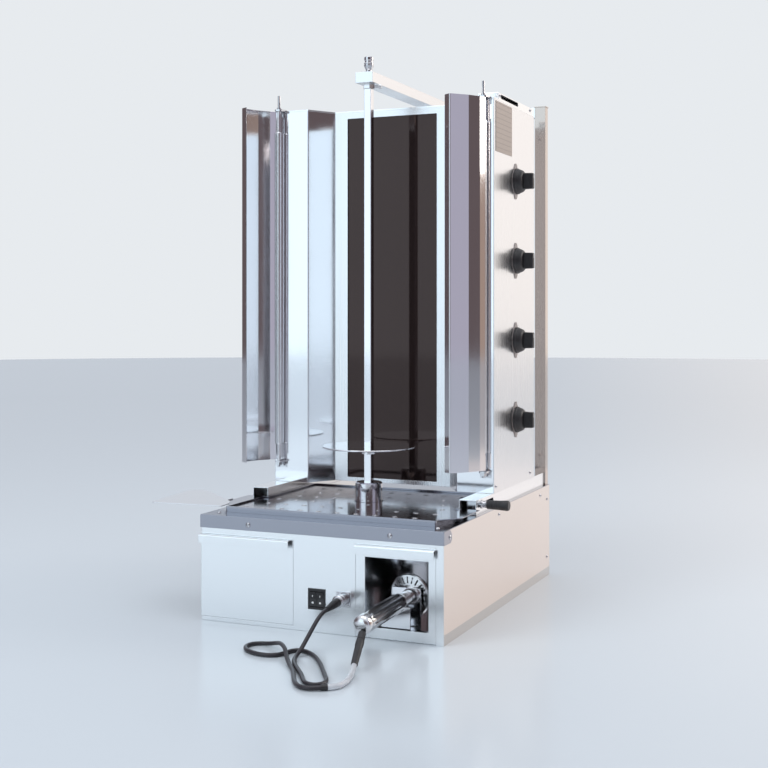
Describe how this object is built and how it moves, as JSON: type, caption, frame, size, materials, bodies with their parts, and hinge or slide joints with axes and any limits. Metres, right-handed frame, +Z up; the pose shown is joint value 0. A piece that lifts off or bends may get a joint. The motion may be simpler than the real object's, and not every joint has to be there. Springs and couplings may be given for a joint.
{
  "type": "vertical rotisserie broiler",
  "caption": "Upright electric rotisserie with a turning spit, sliding glass-fronted heater tower, hinged side reflectors, drip tray and a base with drawer and corded slicer.",
  "frame": {"origin": "centre of the flat underside of the base", "axes": "+Z up along the spit, +Y towards the back, +X to the right seen from the front"},
  "size_m": [0.7349, 1.0861, 1.1758],
  "materials": {
    "stainless_brushed": "fine brushed stainless sheet",
    "stainless_polished": "mirror polished stainless sheet",
    "plated_steel": "bright plated steel",
    "galvanised": "zinc coated sheet",
    "grey_paint": "grey machine enamel",
    "black_plastic": "black moulded plastic",
    "cable_rubber": "smooth black cable jacket",
    "clear_sleeve": "clear soft plastic sleeve",
    "cast_aluminium": "turned and polished aluminium",
    "ceramic_glass": "black glass ceramic",
    "ceramic_board": "white ceramic fibre",
    "label_foil": "blank anodised foil"
  },
  "bodies": {
    "base": {"base_bottom": "galvanised", "base_side_left": "stainless_brushed", "base_side_right": "stainless_brushed", "base_back": "stainless_brushed", "mains_gland": "black_plastic", "front_panel": "stainless_brushed", "top_deck": "stainless_polished", "drip_tray": "stainless_polished", "perforated_plate": "stainless_polished", "deck_rails": "stainless_brushed", "rear_posts": "stainless_brushed", "cross_beam": "stainless_brushed", "spit_arm": "stainless_brushed", "gear_motor": "grey_paint", "transformer": "black_plastic", "drawer_runners": "galvanised", "knife_bay_liner": "stainless_polished", "knife_bay_front": "stainless_brushed", "blade_guard": "cast_aluminium", "knife_handle": "cast_aluminium", "knife_socket": "plated_steel", "switch_housing": "black_plastic", "cord": "cable_rubber", "cord_sleeve": "clear_sleeve", "cord_plug": "black_plastic", "cord_fittings": "black_plastic", "base_screws": "plated_steel"},
    "drawer": {"drawer_front": "stainless_brushed", "drawer_box": "galvanised"},
    "tower": {"runner_bars": "plated_steel", "tower_side_right": "stainless_brushed", "tower_side_left": "stainless_brushed", "reflector_right": "stainless_polished", "reflector_left": "stainless_polished", "tower_back": "stainless_brushed", "tower_top": "stainless_brushed", "glass_frame": "stainless_brushed", "heater_glass": "ceramic_glass", "heater_board": "ceramic_board", "heating_elements": "ceramic_board", "heat_regulators": "black_plastic", "knob_plates": "cast_aluminium", "rating_plate": "label_foil", "tower_screws": "plated_steel", "wing_brackets": "plated_steel"},
    "wing_right_body": {"wing_right": "stainless_polished"},
    "wing_left_body": {"wing_left": "stainless_polished"},
    "spit": {"drive_socket": "stainless_polished", "spit_bar": "stainless_polished", "meat_plate": "stainless_polished"},
    "pin": {"top_pin": "plated_steel"},
    "clamp": {"clamp_grip": "black_plastic"},
    "shelf": {"side_shelf": "stainless_polished"},
    "blade": {"knife_blade": "stainless_polished"},
    "switch_left": {"rocker_motor": "black_plastic"},
    "switch_right": {"rocker_knife": "black_plastic"},
    "dial_1": {"knob_1": "black_plastic"},
    "dial_2": {"knob_2": "black_plastic"},
    "dial_3": {"knob_3": "black_plastic"},
    "dial_4": {"knob_4": "black_plastic"}
  },
  "joints": [
    {"name": "drawer_slide", "type": "slide", "parent": "base", "child": "drawer", "axis": [0, -1, 0], "range_m": [0, 0.3]},
    {"name": "tower_slide", "type": "slide", "parent": "base", "child": "tower", "axis": [0, 1, 0], "range_m": [-0.02, 0.07]},
    {"name": "wing_right_swing", "type": "hinge", "parent": "tower", "child": "wing_right_body", "pos_m": [0.2425, -0.063, 0.7], "axis": [0, 0, 1], "range_deg": [-20, 127]},
    {"name": "wing_left_swing", "type": "hinge", "parent": "tower", "child": "wing_left_body", "pos_m": [-0.2425, -0.063, 0.7], "axis": [0, 0, 1], "range_deg": [-65, 83]},
    {"name": "spit_spin", "type": "hinge", "parent": "base", "child": "spit", "pos_m": [0, -0.11, 0.5], "axis": [0, 0, 1], "continuous": true},
    {"name": "top_pin_lift", "type": "slide", "parent": "base", "child": "pin", "axis": [0, 0, 1], "range_m": [0, 0.03]},
    {"name": "clamp_turn", "type": "hinge", "parent": "tower", "child": "clamp", "pos_m": [0.29, -0.118, 0.234], "axis": [1, 0, 0], "range_deg": [0, 180]},
    {"name": "shelf_pull", "type": "slide", "parent": "base", "child": "shelf", "axis": [-1, 0, 0], "range_m": [0, 0.06]},
    {"name": "blade_spin", "type": "hinge", "parent": "base", "child": "blade", "pos_m": [0.17, -0.283, 0.075], "axis": [-0.0967, -0.9911, -0.0919], "continuous": true},
    {"name": "rocker_motor_tip", "type": "hinge", "parent": "base", "child": "switch_left", "pos_m": [-0.0096, -0.357, 0.0655], "axis": [1, 0, 0], "range_deg": [0, 12]},
    {"name": "rocker_knife_tip", "type": "hinge", "parent": "base", "child": "switch_right", "pos_m": [0.0066, -0.357, 0.0655], "axis": [1, 0, 0], "range_deg": [0, 12]},
    {"name": "knob_1_turn", "type": "hinge", "parent": "tower", "child": "dial_1", "pos_m": [0.275, 0.102, 0.391], "axis": [1, 0, 0], "range_deg": [0, 270]},
    {"name": "knob_2_turn", "type": "hinge", "parent": "tower", "child": "dial_2", "pos_m": [0.275, 0.102, 0.5666], "axis": [1, 0, 0], "range_deg": [0, 270]},
    {"name": "knob_3_turn", "type": "hinge", "parent": "tower", "child": "dial_3", "pos_m": [0.275, 0.102, 0.7422], "axis": [1, 0, 0], "range_deg": [0, 270]},
    {"name": "knob_4_turn", "type": "hinge", "parent": "tower", "child": "dial_4", "pos_m": [0.275, 0.102, 0.9178], "axis": [1, 0, 0], "range_deg": [0, 270]}
  ]
}
